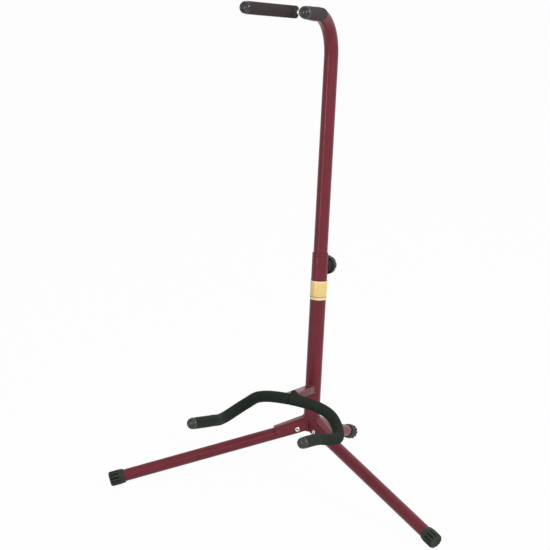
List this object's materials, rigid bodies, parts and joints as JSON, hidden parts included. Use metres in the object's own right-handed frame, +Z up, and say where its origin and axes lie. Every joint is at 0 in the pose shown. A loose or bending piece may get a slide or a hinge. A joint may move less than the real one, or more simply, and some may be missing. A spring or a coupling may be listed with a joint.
{
  "type": "guitar stand",
  "caption": "Folding tripod guitar stand of painted tube with a padded body cradle, a sliding bent mast, a padded neck yoke and hinged legs with ribbed rubber feet.",
  "frame": {"origin": "on the floor, under the middle of the stand's box", "axes": "+Z up, -Y is the front, where the cradle and the neck yoke point, +X is to the right of a person in front of the stand"},
  "size_m": [0.5588, 0.4208, 0.7833],
  "materials": {
    "burgundy_paint": "semi-gloss burgundy paint on steel",
    "black_foam": "matte black foam sleeve",
    "grey_rubber": "matte dark grey rubber with ribs",
    "black_plastic": "matte black moulded plastic",
    "gloss_black_plastic": "glossy black push-on cap",
    "plated_steel": "bright zinc-plated steel",
    "gold_label": "bare gold film band"
  },
  "bodies": {
    "mast_base": {"lower_mast_tube": "burgundy_paint", "mast_collar": "burgundy_paint", "mast_bottom_plug": "black_plastic", "label_band": "gold_label", "clamp_boss": "burgundy_paint", "left_leg_channel": "burgundy_paint", "right_leg_channel": "burgundy_paint", "rear_leg_channel": "burgundy_paint", "left_leg_rivet": "plated_steel", "right_leg_rivet": "plated_steel", "rear_leg_rivet": "plated_steel", "cradle_lug": "burgundy_paint", "cradle_rod": "plated_steel", "left_cradle_sleeve": "black_foam", "right_cradle_sleeve": "black_foam", "left_cradle_cap": "gloss_black_plastic", "right_cradle_cap": "gloss_black_plastic"},
    "clamp": {"clamp_bolt": "plated_steel", "clamp_knob": "black_plastic"},
    "upper_mast": {"upper_mast_tube": "burgundy_paint", "neck_tube_plug": "black_plastic", "neck_yoke_rod": "plated_steel", "left_neck_sleeve": "black_foam", "right_neck_sleeve": "black_foam", "left_neck_cap": "gloss_black_plastic", "right_neck_cap": "gloss_black_plastic"},
    "left_leg": {"left_leg_tube": "burgundy_paint", "left_foot_cap": "grey_rubber"},
    "right_leg": {"right_leg_tube": "burgundy_paint", "right_foot_cap": "grey_rubber"},
    "rear_leg": {"rear_leg_tube": "burgundy_paint", "rear_foot_cap": "grey_rubber"}
  },
  "joints": [
    {"name": "mast_height", "type": "slide", "parent": "mast_base", "child": "upper_mast", "axis": [0, 0.1184, 0.993], "range_m": [-0.19, 0.03]},
    {"name": "knob_turn", "type": "hinge", "parent": "mast_base", "child": "clamp", "pos_m": [0, 0.06435, 0.34052], "axis": [0, 0.993, -0.1184], "range_deg": [0, 360]},
    {"name": "left_leg_fold", "type": "hinge", "parent": "mast_base", "child": "left_leg", "pos_m": [-0.01984, 0.0222, 0.08377], "axis": [0.5, -0.8599, 0.1025], "range_deg": [0, 72]},
    {"name": "right_leg_fold", "type": "hinge", "parent": "mast_base", "child": "right_leg", "pos_m": [0.01984, 0.0222, 0.08377], "axis": [0.5, 0.8599, -0.1025], "range_deg": [0, 72]},
    {"name": "rear_leg_fold", "type": "hinge", "parent": "mast_base", "child": "rear_leg", "pos_m": [0, 0.05617, 0.07936], "axis": [-1, 0, 0], "range_deg": [0, 72]}
  ]
}
